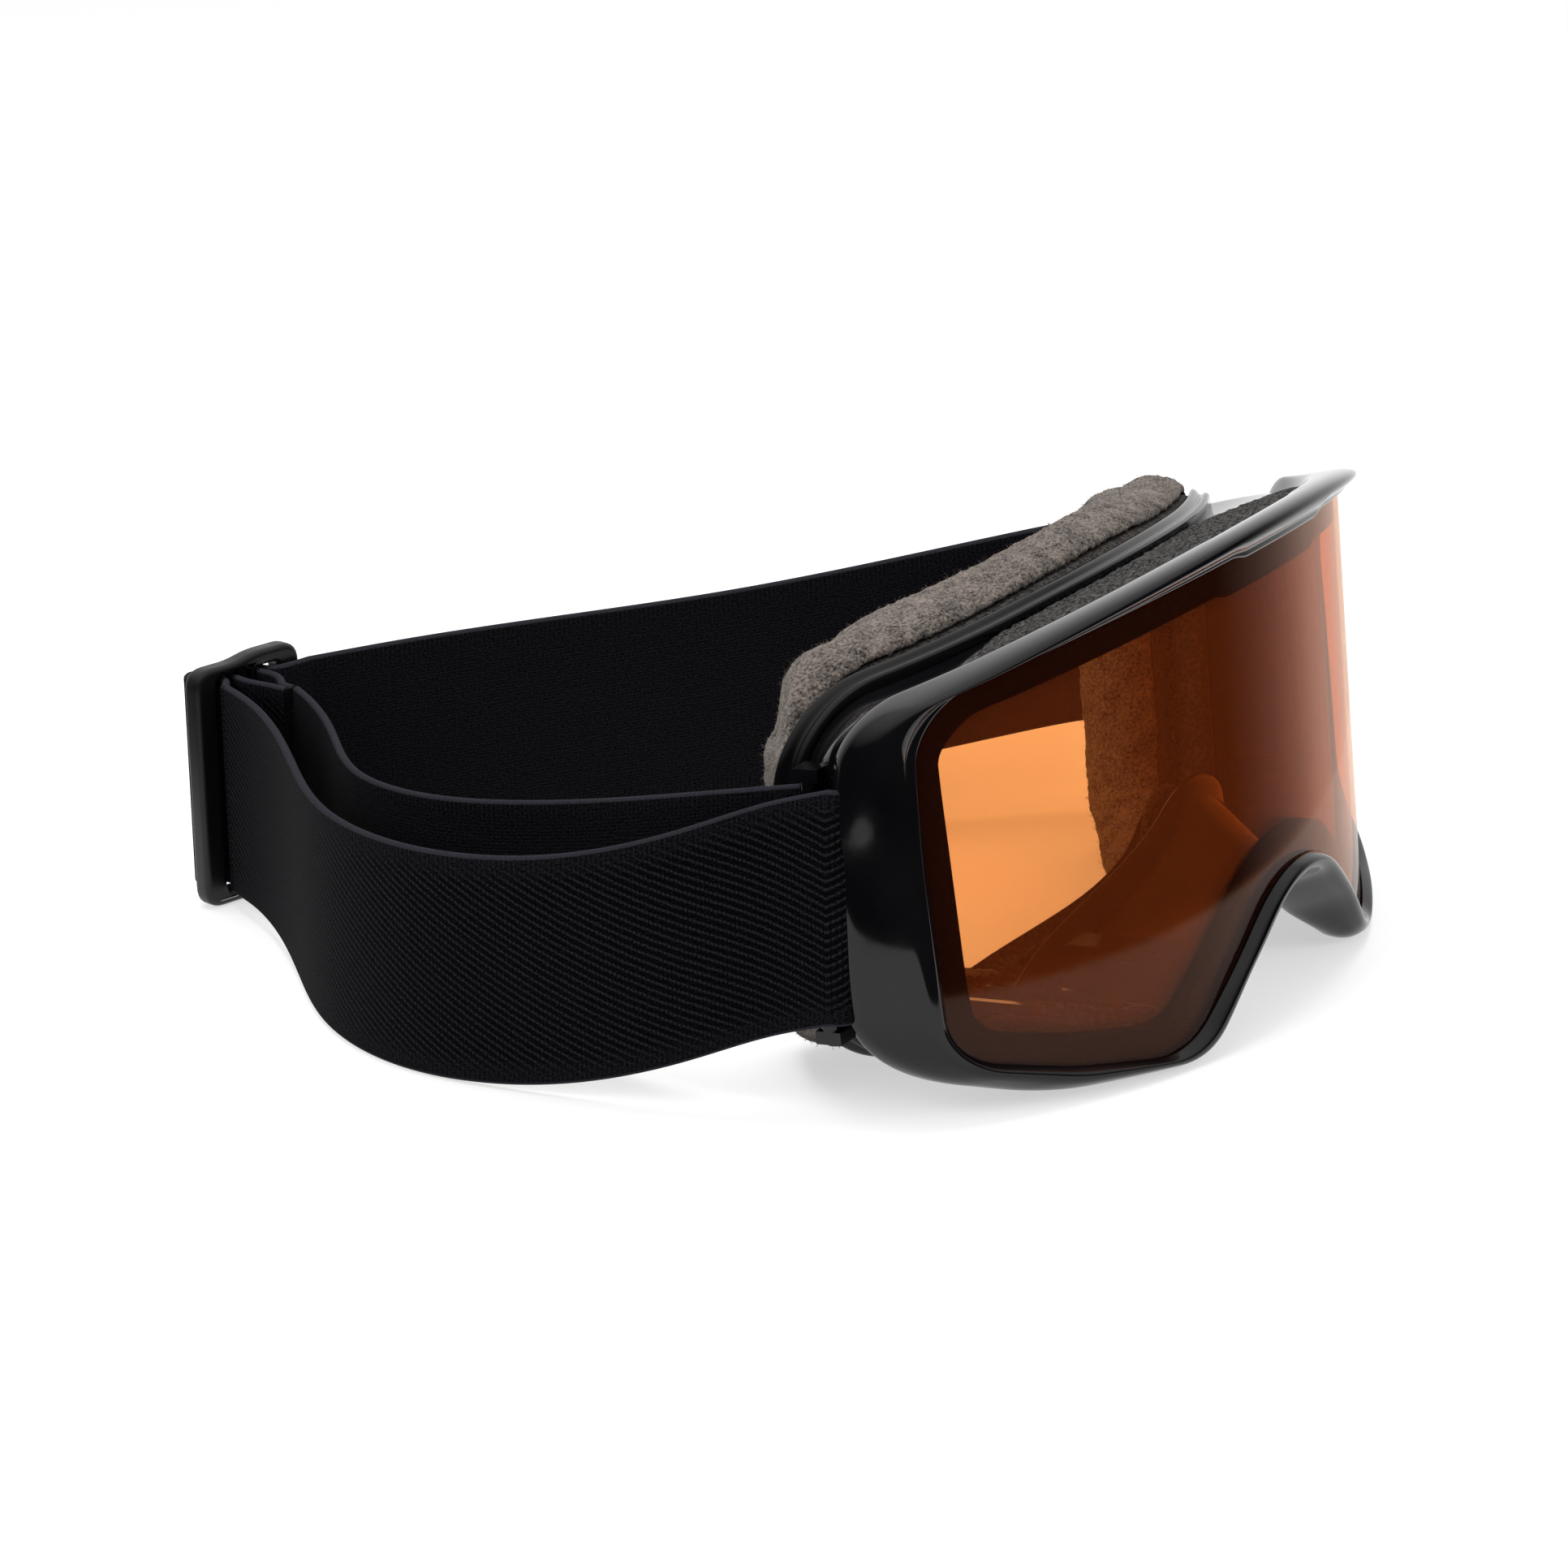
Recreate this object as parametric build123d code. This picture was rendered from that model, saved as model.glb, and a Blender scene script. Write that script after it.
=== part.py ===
from build123d import *
import os

# Ski goggles standing on their two cheeks and on the lower edge of the strap. Millimetres.
# X runs across the face, +Y from the lens towards the back of the head, +Z up.
# The goggle body is drawn upright, with the lens front at Y = 0, and then leaned back.

# ---- driving dimensions -------------------------------------------------------------------
LEAN = 4.7                 # degrees the standing goggle leans back
FLOOR_DROP = 0.675         # how far the cheeks reach below the drawing's zero once leaned
CENTRE_X = -5.25           # middle of the finished part's box, before it is moved to zero
CENTRE_Y = 100.75

LENS_RADIUS = 120.0
OUTER_LENS = 0.9
SPACER = 2.8
INNER_LENS = 0.8
GAP = 0.05                 # clearance between glued or clipped layers
LENS_EDGE_COVERED = 1.0    # how far the lens runs in under the rim
WINDOW_INSET = 4.4         # the spacer's width inside the visible lens edge
WEB_SHOWS = 0.6            # the rim's web ends this much outside the spacer's inner edge

RIM_PROUD = 2.2
RIM_BACK = 6.6
RIM_BACK_RADIUS = 120.0
VISOR_PROUD = 3.6
VISOR_THICKNESS = 4.2
VISOR_FROM_Z = 66.0
CHASSIS_INSET = 7.4        # frame tube, measured in from the rim's outline
CHASSIS_WALL = 1.6

FLANGE_FRONT = 30.9
FLANGE_RADIUS = 133.0
FLANGE_THICKNESS = 2.2
FLANGE_BACK = FLANGE_FRONT + FLANGE_THICKNESS
FLANGE_WIDTH = 9.0
BASE_FOAM_BACK = 40.0
BASE_FOAM_RADIUS = 148.0
SOFT_FOAM_BACK = 46.5
SOFT_FOAM_RADIUS = 92.0
FLEECE_BACK = 48.5
FLEECE_RADIUS = 88.0
FOAM_WIDTH = 12.5

VENT_HALF_WIDTH = 70.0
VENT_FOAM = 2.6
RIB_WIDTH = 2.5
RIB_DEPTH = 1.8
TOP_RIBS = (-68, -34, 0, 34, 68)
BOTTOM_VENT = (26.0, 60.0)
BOTTOM_RIBS = (-58, -43, -28, 28, 43, 58)

BAR_X = 83.5
BAR_Y = 46.0
BAR_THICKNESS = 2.4
BAR_DEPTH = 3.0
BAR_LOW = 18.5
BAR_HIGH = 60.5
BAR_ARM = 2.2
BAR_ARM_DEPTH = 4.6

STRAP_WIDTH = 40.0
STRAP_THICKNESS = 1.6
STRAP_AT_BAR = 19.5        # lower edge of the strap round the bars, before the lean
STRAP_LEAVES_BAR = 50.5
STRAP_CLEAR = 0.2
STATIONS = 9

SLIDER_AT = (-34.5, 196.5)
SLIDER_ACROSS = (0.968, -0.25)
SLIDER_WIDTH = 24.5
SLIDER_HEIGHT = 46.0
SLIDER_THICKNESS = 2.8
SLIDER_BAR = 3.0
SLIDER_RAIL = 2.4
SLIDER_CORNER = 4.0
STRAP_AT_SLIDER = (SLIDER_HEIGHT - STRAP_WIDTH) / 2
TACK_INSIDE = 13.0         # bar tack, measured in from the slider's middle bar

# Half outlines seen from the front, from the top middle round to the nose.
# Each corner is (x, z, corner radius), and the other half is mirrored.
RIM_OUTLINE = [(0, 99.3, 225), (-88.0, 70.3, 9), (-84.5, 9.3, 17), (-34.5, -0.2, 10), (0, 20.4, 10)]
LENS_OUTLINE = [(0, 88.6, 300), (-79.4, 72.7, 13), (-77.0, 11.0, 11), (-37.4, 2.2, 9), (0, 34.2, 25)]
FLANGE_OUTLINE = [(0, 87.2, 240), (-80.5, 70.5, 18), (-76.5, 11.0, 18), (-36.0, 5.5, 12), (0, 37.5, 14)]
FOAM_OUTLINE = [(0, 90.8, 240), (-80.0, 70.5, 18), (-76.0, 11.5, 18), (-36.0, 5.8, 12), (0, 37.0, 14)]

# Half outline of the face padding seen from above, from the front round to its rear edge.
FOAM_PLAN = [(84.0, 0.0), (84.0, 55.0), (75.0, 60.3), (58.0, 71.0)]

# Strap runs: (x, y, height of the lower edge) from the frame back to the slider.
NEAR_OUTER = [(-86.6, 56.8, 14.2), (-91.0, 70.0, 8.8), (-96.5, 98.0, 1.2), (-97.0, 118.0, 0.1),
              (-89.0, 140.0, 0.3), (-68.0, 163.0, 1.5), (-48.8, 185.0, 3.0), (-43.6, 193.4, 3.0)]
NEAR_INNER = [(-81.6, 56.8, 15.0), (-82.4, 72.0, 12.0), (-79.5, 100.0, 5.6), (-80.0, 124.0, 3.0),
              (-73.5, 144.0, 2.2), (-56.0, 162.0, 2.5), (-42.0, 177.0, 3.0), (-38.6, 181.5, 3.0)]
FAR_RUN = [(86.4, 56.8, 16.5), (83.5, 72.0, 16.5), (70.0, 92.0, 15.0), (36.0, 133.0, 10.5),
           (-7.0, 177.5, 4.5), (-21.6, 191.4, 3.0)]
STRETCH_ENDS = 0.45        # share of a run that stretches with the elastic
SLIDER_STARTS = 0.72       # share of a run from which it follows the slider


# ---- helpers ------------------------------------------------------------------------------
def outline(half, grow=0.0):
    """A flat XZ face, symmetric in X, from half its corners."""
    corners = half + [(-x, z, r) for x, z, r in half[-2:0:-1]]
    points = [(x, z) for x, z, _ in corners]
    face = make_face(FilletPolyline(*points, radius=[r for _, _, r in corners], close=True))
    if grow:
        face = offset(face, amount=grow)
    return Plane.XZ * face


def surface(front, radius):
    """A solid cylinder whose foremost line is at Y = front: it stands for a curved surface."""
    return Pos(0, front + radius, 45) * Cylinder(radius, 260)


def slab(face, front, back):
    """The face run along Y between two curved surfaces, each (front, radius)."""
    block = extrude(Pos(0, -30, 0) * face, amount=160, dir=(0, 1, 0))
    return (block & surface(*front)) - surface(*back)


def lens_depth(depth):
    """The surface that lies a radial depth behind the lens front."""
    return depth, LENS_RADIUS - depth


def keep(shape, x=(-200, 200), y=(-200, 400), z=(-200, 200)):
    """The part of a shape inside a box."""
    size = [high - low for low, high in (x, y, z)]
    middle = [(high + low) / 2 for low, high in (x, y, z)]
    return shape & (Pos(*middle) * Box(*size))


def mirrored(shape):
    return mirror(shape, about=Plane.YZ)


# ---- lens ---------------------------------------------------------------------------------
def make_lenses():
    full = outline(LENS_OUTLINE, LENS_EDGE_COVERED)
    window = outline(LENS_OUTLINE, -WINDOW_INSET)
    spacer_at = OUTER_LENS + GAP
    inner_at = spacer_at + SPACER + GAP
    spacer = slab(outline(LENS_OUTLINE, 0.5), lens_depth(spacer_at), lens_depth(spacer_at + SPACER))
    spacer -= slab(window, lens_depth(-9), lens_depth(9))
    inner_outline = outline(LENS_OUTLINE, -0.5)
    return {
        "outer_lens": slab(full, lens_depth(0), lens_depth(OUTER_LENS)),
        "lens_spacer_foam": spacer,
        "inner_lens": slab(inner_outline, lens_depth(inner_at), lens_depth(inner_at + INNER_LENS)),
    }


# ---- frame --------------------------------------------------------------------------------
def make_rim():
    """Front rim: visor lip at the top, groove for the lens, web behind it, nose arch below."""
    back = (RIM_BACK, RIM_BACK_RADIUS)
    rim = slab(outline(RIM_OUTLINE), lens_depth(-RIM_PROUD), back)
    visor = slab(outline(RIM_OUTLINE), lens_depth(-VISOR_PROUD), lens_depth(-RIM_PROUD))
    visor -= slab(outline(RIM_OUTLINE, -VISOR_THICKNESS), lens_depth(-9), lens_depth(9))
    rim += keep(visor, z=(VISOR_FROM_Z, 120))
    rim -= slab(outline(LENS_OUTLINE), lens_depth(-9), lens_depth(1))
    pocket_depth = OUTER_LENS + SPACER + INNER_LENS + 3 * GAP
    groove = outline(LENS_OUTLINE, LENS_EDGE_COVERED + GAP)
    rim -= slab(groove, lens_depth(-GAP), lens_depth(pocket_depth))
    rim -= slab(outline(LENS_OUTLINE, WEB_SHOWS - WINDOW_INSET), lens_depth(3), (20, LENS_RADIUS))
    return rim


def frame_ring(inset, thickness):
    """A tube between rim and face flange, following the rim's outline."""
    front = (RIM_BACK + GAP, RIM_BACK_RADIUS - GAP)
    back = (FLANGE_FRONT - GAP, FLANGE_RADIUS)
    ring = slab(outline(RIM_OUTLINE, -inset), front, back)
    return ring - slab(outline(RIM_OUTLINE, -inset - thickness), lens_depth(0), (90, LENS_RADIUS))


def vent_areas(shape):
    """The stretches of a frame ring that the vents take up: top, bottom left, bottom right."""
    low, high = BOTTOM_VENT
    return (
        keep(shape, x=(-VENT_HALF_WIDTH, VENT_HALF_WIDTH), z=(55, 120)),
        keep(shape, x=(-high, -low), z=(-20, 25)),
        keep(shape, x=(low, high), z=(-20, 25)),
    )


def ribs(shape, places, z):
    cells = [keep(shape, x=(at - RIB_WIDTH / 2, at + RIB_WIDTH / 2), z=z) for at in places]
    return Compound(children=[solid for cell in cells for solid in cell.solids()])


def make_frame():
    chassis = frame_ring(CHASSIS_INSET, CHASSIS_WALL)
    for area in vent_areas(chassis):
        chassis -= area
    rib_ring = frame_ring(CHASSIS_INSET + VENT_FOAM + 2 * GAP, RIB_DEPTH)
    foam_top, foam_left, foam_right = vent_areas(frame_ring(CHASSIS_INSET, VENT_FOAM))
    inset = GAP + 0.1
    opening = outline(FLANGE_OUTLINE, -FLANGE_WIDTH)
    flange = slab(outline(FLANGE_OUTLINE), (FLANGE_FRONT, FLANGE_RADIUS), (FLANGE_BACK, FLANGE_RADIUS))
    flange -= slab(opening, (0, FLANGE_RADIUS), (90, FLANGE_RADIUS))
    low, high = BOTTOM_VENT
    return {
        "front_rim": make_rim(),
        "frame_chassis": chassis,
        "vent_ribs_top": ribs(rib_ring, TOP_RIBS, (55, 120)),
        "vent_ribs_bottom": ribs(rib_ring, BOTTOM_RIBS, (-20, 25)),
        "face_flange": flange,
        "vent_foam_top": keep(foam_top, x=(inset - VENT_HALF_WIDTH, VENT_HALF_WIDTH - inset)),
        "vent_foam_bottom_left": keep(foam_left, x=(inset - high, -low - inset)),
        "vent_foam_bottom_right": keep(foam_right, x=(low + inset, high - inset)),
    }


def make_strap_bar():
    """One strap bar with its two arms, on the -X side."""
    span = BAR_HIGH - BAR_LOW
    bar = Pos(-BAR_X, BAR_Y, (BAR_HIGH + BAR_LOW) / 2) * Box(BAR_THICKNESS, BAR_DEPTH, span)
    bar = fillet(bar.edges().filter_by(Axis.Z), BAR_THICKNESS / 2 - 0.1)
    reach = 5.0
    arm = Box(reach, BAR_ARM_DEPTH, BAR_ARM, align=(Align.MIN, Align.CENTER, Align.CENTER))
    start = -BAR_X - BAR_THICKNESS / 2
    low_arm = Pos(start, BAR_Y, BAR_LOW - BAR_ARM / 2) * arm
    high_arm = Pos(start, BAR_Y, BAR_HIGH + BAR_ARM / 2) * arm
    chassis_space = slab(outline(RIM_OUTLINE, GAP - CHASSIS_INSET), (0, 120), (90, 120))
    return (bar + low_arm + high_arm) - chassis_space


# ---- face padding -------------------------------------------------------------------------
def narrowed(half, share):
    """A half outline with a share of its width and all of its height."""
    return [(x * share, z, r * share**2) for x, z, r in half]


def padding(front, back, inset, outer_share, opening_share):
    """One ring of the face padding between two curved surfaces, narrower towards the face."""
    ring = slab(outline(narrowed(FOAM_OUTLINE, outer_share), -inset), front, back)
    opening = outline(narrowed(FOAM_OUTLINE, opening_share), -FOAM_WIDTH)
    ring -= slab(opening, (0, 90), (110, 90))
    plan = make_face(Polyline(*FOAM_PLAN, *[(-x, y) for x, y in reversed(FOAM_PLAN)], close=True))
    return ring & extrude(Pos(0, 0, -50) * plan, amount=200)


def make_padding():
    base_back = (BASE_FOAM_BACK, BASE_FOAM_RADIUS)
    soft_back = (SOFT_FOAM_BACK, SOFT_FOAM_RADIUS)
    fleece_back = (FLEECE_BACK, FLEECE_RADIUS)
    return {
        "face_foam_base": padding((FLANGE_BACK + GAP, FLANGE_RADIUS), base_back, 0.8, 1.0, 0.93),
        "face_foam_soft": padding((BASE_FOAM_BACK + GAP, BASE_FOAM_RADIUS), soft_back, 2.6, 0.96, 0.8),
        "fleece_liner": padding((SOFT_FOAM_BACK + GAP, SOFT_FOAM_RADIUS), fleece_back, 4.2, 0.79, 0.8),
    }


# ---- strap --------------------------------------------------------------------------------
def run(points, start, end):
    """Upright strap sections lofted along part of a smooth curve through lower-edge points."""
    path = Spline(*points)
    sections = []
    for i in range(STATIONS):
        t = start + (end - start) * i / (STATIONS - 1)
        along = path % t
        forward = Vector(along.X, along.Y, 0).normalized()
        middle = (path @ t) + Vector(0, 0, STRAP_WIDTH / 2)
        plane = Plane(middle, x_dir=forward.cross(Vector(0, 0, 1)), z_dir=forward)
        sections.append(plane * Rectangle(STRAP_THICKNESS, STRAP_WIDTH))
    return loft(sections, ruled=True)


def ribbon(points, radius, low):
    """A strap length with a constant lower edge, bent in plan, with rounded ends."""
    line = FilletPolyline(*points, radius=radius)
    face = make_face(offset(line, amount=STRAP_THICKNESS / 2, side=Side.BOTH))
    return Pos(0, 0, low) * extrude(face, amount=STRAP_WIDTH)


def bar_loop():
    """The strap where it turns round the -X strap bar."""
    reach = BAR_THICKNESS / 2 + STRAP_CLEAR + STRAP_THICKNESS / 2
    front = BAR_Y - BAR_DEPTH / 2 - STRAP_CLEAR - STRAP_THICKNESS / 2
    corners = [(-BAR_X - reach, front), (-BAR_X + reach, front)]
    points = [(-BAR_X - reach, STRAP_LEAVES_BAR), *corners, (-BAR_X + reach, STRAP_LEAVES_BAR)]
    return ribbon(points, reach * 0.9, STRAP_AT_BAR)


def to_slider(shape):
    """Carry a shape drawn with X across the slider and Y outwards to the slider's place."""
    plane = Plane(origin=(*SLIDER_AT, 0), x_dir=(*SLIDER_ACROSS, 0), z_dir=(0, 0, 1))
    return plane * shape


def make_slider():
    """Three-bar slider standing on its end."""
    plate = Plane.XZ * RectangleRounded(SLIDER_WIDTH, SLIDER_HEIGHT, SLIDER_CORNER)
    plate = Pos(0, SLIDER_THICKNESS / 2, SLIDER_HEIGHT / 2) * extrude(plate, amount=SLIDER_THICKNESS)
    slot_width = (SLIDER_WIDTH - 3 * SLIDER_BAR) / 2
    slot_at = (SLIDER_BAR + slot_width) / 2
    slot = Box(slot_width, 3 * SLIDER_THICKNESS, SLIDER_HEIGHT - 2 * SLIDER_RAIL)
    for side in (-1, 1):
        plate -= Pos(side * slot_at, 0, SLIDER_HEIGHT / 2) * slot
    return to_slider(plate)


def make_slider_strap():
    """The sewn loop round the middle bar, the running strap over it, and the bar tack."""
    loop_half = (SLIDER_BAR + STRAP_THICKNESS) / 2 + STRAP_CLEAR
    loop_out = (SLIDER_THICKNESS + STRAP_THICKNESS) / 2 + STRAP_CLEAR
    step = STRAP_THICKNESS + STRAP_CLEAR
    tack = (-1.0, -TACK_INSIDE)
    half = STRAP_THICKNESS / 2 + GAP
    loop = [
        (tack[0] - half, tack[1]), (-loop_half, -loop_out), (-loop_half, loop_out),
        (loop_half, loop_out), (loop_half, -loop_out), (tack[0] + half, tack[1]),
    ]
    wrap_half = loop_half + step
    wrap_out = loop_out + step
    wrap = [
        (-wrap_half - 1.9, -3.6), (-wrap_half, -0.5), (-wrap_half, wrap_out),
        (wrap_half, wrap_out), (wrap_half, -0.5), (wrap_half + 3.4, -3.6),
    ]
    return {
        "strap_sewn_loop": to_slider(ribbon(loop, 1.2, STRAP_AT_SLIDER)),
        "strap_slider_wrap": to_slider(ribbon(wrap, 1.2, STRAP_AT_SLIDER)),
    }


def make_strap():
    parts = {}
    for name, points in (("near_outer", NEAR_OUTER), ("near_inner", NEAR_INNER), ("far", FAR_RUN)):
        parts[f"strap_{name}_front"] = run(points, 0, STRETCH_ENDS)
        parts[f"strap_{name}_middle"] = run(points, STRETCH_ENDS, SLIDER_STARTS)
        parts[f"strap_{name}_rear"] = run(points, SLIDER_STARTS, 1)
    return parts | make_slider_strap() | {"slider_buckle": make_slider()}


# ---- assembly -----------------------------------------------------------------------------
def main():
    upright = make_lenses() | make_frame() | make_padding()
    bar = make_strap_bar()
    loop = bar_loop()
    upright |= {"strap_bar_left": bar, "strap_bar_right": mirrored(bar)}
    upright |= {"strap_bar_loop_left": loop, "strap_bar_loop_right": mirrored(loop)}
    lean = Pos(0, 0, FLOOR_DROP) * Rot(X=-LEAN)
    parts = {name: lean * shape for name, shape in upright.items()}
    parts |= make_strap()
    os.makedirs("parts", exist_ok=True)
    for name, shape in parts.items():
        export_step(Pos(-CENTRE_X, -CENTRE_Y, 0) * shape, f"parts/{name}.step")
        box = shape.bounding_box()
        print(f"{name:26s} {len(shape.solids())} solids  volume {shape.volume:9.1f}", box.min, box.max)


main()
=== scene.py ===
import math
import bmesh
import bpy
import numpy as np
from mathutils import Matrix, Vector, noise


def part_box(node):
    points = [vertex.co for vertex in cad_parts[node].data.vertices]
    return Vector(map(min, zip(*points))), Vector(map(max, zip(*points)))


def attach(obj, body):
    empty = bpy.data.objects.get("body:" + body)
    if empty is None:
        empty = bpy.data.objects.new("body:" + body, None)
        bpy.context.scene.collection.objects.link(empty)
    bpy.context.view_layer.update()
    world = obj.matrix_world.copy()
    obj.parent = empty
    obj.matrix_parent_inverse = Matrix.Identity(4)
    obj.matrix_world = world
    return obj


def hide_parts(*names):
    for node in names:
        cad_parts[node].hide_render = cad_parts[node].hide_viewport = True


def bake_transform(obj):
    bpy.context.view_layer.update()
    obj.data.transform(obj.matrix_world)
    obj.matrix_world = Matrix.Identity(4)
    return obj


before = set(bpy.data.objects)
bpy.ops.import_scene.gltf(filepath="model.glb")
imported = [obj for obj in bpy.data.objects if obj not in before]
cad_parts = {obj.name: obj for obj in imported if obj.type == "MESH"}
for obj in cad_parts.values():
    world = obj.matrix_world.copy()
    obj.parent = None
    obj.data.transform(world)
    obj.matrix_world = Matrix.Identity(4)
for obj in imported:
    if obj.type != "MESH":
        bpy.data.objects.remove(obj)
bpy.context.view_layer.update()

# Lengths below are millimetres. The goggle is drawn upright, X across the face, Y from the lens
# towards the back of the head and Z up, with the lens front at Y = 0, and is then leaned back.
# The strap and the slider are drawn as they stand on the floor.

# ---- driving dimensions -------------------------------------------------------------------
MM = 0.001
LEAN = math.radians(4.7)
FLOOR_DROP = 0.675
RIM_AHEAD = 0.6677         # the rim's foremost point lies this far in front of the lens foot
LENS_RADIUS = 120.0
FLANGE_RADIUS = 166.0      # of the curve that the face flange follows
NOSE_FORWARD = 12.5        # the flange and padding lie this much nearer the lens over the nose

# Half outlines seen from the front, from the top middle to the bottom middle. Each corner has X, Z
# and the radius it is rounded with.
RIM = [(0, 99.3, 225), (-87.0, 70.6, 9), (-84.5, 11.5, 17), (-62.0, 2.6, 50),
       (-31.5, -0.8, 17), (0, 20.4, 10)]
LENS = [(0, 88.6, 300), (-79.4, 72.7, 13), (-77.0, 12.5, 10), (-58.0, 6.4, 50),
        (-36.6, 1.9, 15), (0, 34.2, 25)]
FLANGE = [(0, 77.2, 400), (-80.5, 70.3, 17), (-76.5, 12.0, 16), (-58.0, 7.5, 40),
          (-36.0, 5.0, 12), (0, 37.5, 14)]
FOAM = [(0, 81.4, 250), (-79.0, 73.8, 20), (-76.0, 11.5, 18), (-36.0, 4.0, 12), (0, 30.0, 12)]
OPENING = [(0, 69.5, 250), (-66.0, 63.0, 16), (-63.0, 17.0, 14), (-30.0, 9.5, 12), (0, 40.0, 10)]

STRAP_WIDTH = 40.0
STRAP_THICKNESS = 1.5
# The strap's runs from a strap bar to the slider, as points of the strap's lower edge.
NEAR_OUTER = [(-86.3, 46.0, 17.2), (-86.9, 56.8, 13.7), (-91.0, 70.0, 8.6), (-96.3, 98.0, 1.3),
              (-97.0, 118.0, 0.2), (-89.0, 140.0, 0.4), (-68.0, 163.0, 1.5), (-48.8, 185.0, 3.0),
              (-43.6, 193.4, 3.0)]
NEAR_INNER = [(-80.7, 46.0, 17.2), (-81.6, 56.8, 15.1), (-82.4, 72.0, 12.0), (-79.5, 100.0, 5.6),
              (-80.0, 124.0, 3.0), (-73.5, 144.0, 2.2), (-56.0, 162.0, 2.5), (-42.0, 177.0, 3.0),
              (-38.6, 181.5, 3.0)]
FAR_RUN = [(86.3, 46.0, 18.6), (86.4, 56.8, 18.8), (83.5, 72.0, 18.5), (70.0, 92.0, 15.7),
           (36.0, 133.0, 8.2), (-7.0, 177.5, 4.3), (-21.9, 190.4, 3.0)]
STRETCH_STARTS = 66.0      # Y where the strap begins to stretch
STRETCH_ENDS = 0.45        # share of a run after which it moves with the strap's rear
SLIDER_STARTS = 0.72       # share of a run where its rear length begins
BAR_X = 83.5
BAR_Y = 46.0
BAR_LOOP_RADIUS = 2.8
BAR_LOOP_FOOT = 17.25      # height of the strap's lower edge at the strap bars
SLIDER_AT = (-34.5, 196.5)
SLIDER_ACROSS = (0.968, -0.25)
SLIDER_STRAP_FOOT = 3.0    # height of the strap's lower edge at the slider

rim_low, rim_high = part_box("front_rim")
ORIGIN = Vector(((rim_low.x + rim_high.x) / 2, rim_low.y + RIM_AHEAD * MM, 0))


# ---- small helpers ------------------------------------------------------------------------
def smoothstep(low, high, value):
    t = np.clip((value - low) / (high - low), 0, 1)
    return t * t * (3 - 2 * t)


def on_floor(points):
    """Millimetres on the floor, from the lens foot, to the part's frame in metres."""
    return np.asarray(points, float) * MM + np.array(ORIGIN)


def leaned(points):
    """Upright goggle millimetres to the part's frame in metres."""
    p = np.asarray(points, float)
    y = p[..., 1] * math.cos(LEAN) + p[..., 2] * math.sin(LEAN)
    z = -p[..., 1] * math.sin(LEAN) + p[..., 2] * math.cos(LEAN) + FLOOR_DROP
    return on_floor(np.stack([p[..., 0], y, z], axis=-1))


def loop(half, grow=0.0, arc=12, edge=8, top_arc=72):
    """Points round a rounded outline, symmetric in X, moved outwards by grow."""
    corners = half + [(-x, z, r) for x, z, r in half[-2:0:-1]]
    count = len(corners)
    at = np.array([(x, z) for x, z, _ in corners], float)
    ways = np.roll(at, -1, axis=0) - at
    ways /= np.linalg.norm(ways, axis=1)[:, None]
    points = []
    arcs = []
    for i in range(count):
        before, after = ways[i - 1], ways[i]
        turn = before[0] * after[1] - before[1] * after[0]
        bend = math.acos(np.clip(before @ after, -1, 1))
        out = (before - after) / np.linalg.norm(before - after) * (1 if turn > 0 else -1)
        corner = at[i] + out * grow / math.cos(bend / 2)
        radius = max(corners[i][2] + (grow if turn > 0 else -grow), 0.8)
        centre = corner - out * (1 if turn > 0 else -1) * radius / math.cos(bend / 2)
        steps = top_arc if i == 0 else arc
        start = (corner - before * radius * math.tan(bend / 2)) - centre
        sign = 1 if turn > 0 else -1
        angles = np.linspace(0, bend, steps) * sign
        c, s = np.cos(angles), np.sin(angles)
        turned = np.stack([c * start[0] - s * start[1], s * start[0] + c * start[1]], axis=1)
        arcs.append(centre + turned)
    for i in range(count):
        points.extend(arcs[i])
        first, last = arcs[i][-1], arcs[(i + 1) % count][0]
        for k in range(1, edge + 1):
            points.append(first + (last - first) * k / (edge + 1))
    return np.array(points)


def behind_lens(flat, depth):
    """Outline points set behind the lens front by a radial depth, one for all or one each."""
    y = LENS_RADIUS - np.sqrt((LENS_RADIUS - depth) ** 2 - flat[:, 0] ** 2)
    return np.stack([flat[:, 0], y, flat[:, 1]], axis=1)


def on_curve(flat, front, radius):
    """Outline points set on a cylinder whose foremost line is at Y = front."""
    y = front + radius - np.sqrt(radius**2 - flat[:, 0] ** 2)
    return np.stack([flat[:, 0], y, flat[:, 1]], axis=1)


def nose_pulled(points, squeeze=0.0, front=33.0):
    """Move the part that bridges the nose towards the lens, and squeeze it in depth."""
    x, y, z = np.abs(points[:, 0]), points[:, 1], points[:, 2]
    share = smoothstep(36, 10, x) * (z < 50)
    moved = points.copy()
    moved[:, 1] = y - share * (NOSE_FORWARD + squeeze * np.clip(y - front, 0, None))
    return moved


def add_mesh(name, points, faces, uvs=None):
    """A smooth mesh object with a clean outside, and corner UVs if given per point."""
    mesh = bpy.data.meshes.new(name)
    mesh.from_pydata([tuple(p) for p in points], [], faces)
    for label, values in (uvs or {}).items():
        layer = mesh.uv_layers.new(name=label)
        for corner in mesh.loops:
            layer.data[corner.index].uv = values[corner.vertex_index]
    work = bmesh.new()
    work.from_mesh(mesh)
    bmesh.ops.recalc_face_normals(work, faces=work.faces)
    work.to_mesh(mesh)
    work.free()
    mesh.shade_smooth()
    piece = bpy.data.objects.new(name, mesh)
    bpy.context.scene.collection.objects.link(piece)
    return piece


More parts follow.
